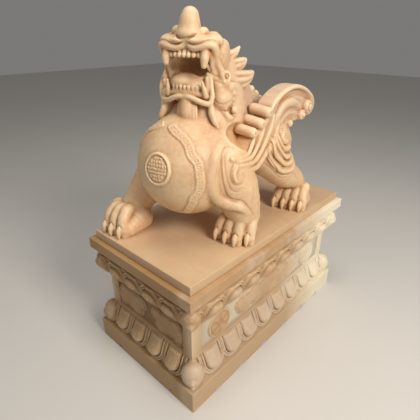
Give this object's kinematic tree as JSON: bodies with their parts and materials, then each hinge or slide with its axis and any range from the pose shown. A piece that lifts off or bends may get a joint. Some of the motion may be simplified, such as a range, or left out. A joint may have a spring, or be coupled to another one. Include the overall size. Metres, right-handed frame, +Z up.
{
  "type": "marble guardian statue on a pedestal",
  "caption": "Carved marble pixiu, a winged guardian beast, striding on a thin plate and standing on a separate lotus-petal pedestal of the same stone.",
  "frame": {"origin": "middle of the pedestal's underside, on the floor", "axes": "+Z up; the creature faces -Y and its left side is +X"},
  "size_m": [0.7, 1.27, 1.6003],
  "materials": {
    "polished_marble": "polished warm cream marble",
    "tan_marble": "honed tan marble, paler at one end"
  },
  "bodies": {
    "root": {"pixiu": "polished_marble", "pedestal": "tan_marble"}
  },
  "joints": []
}
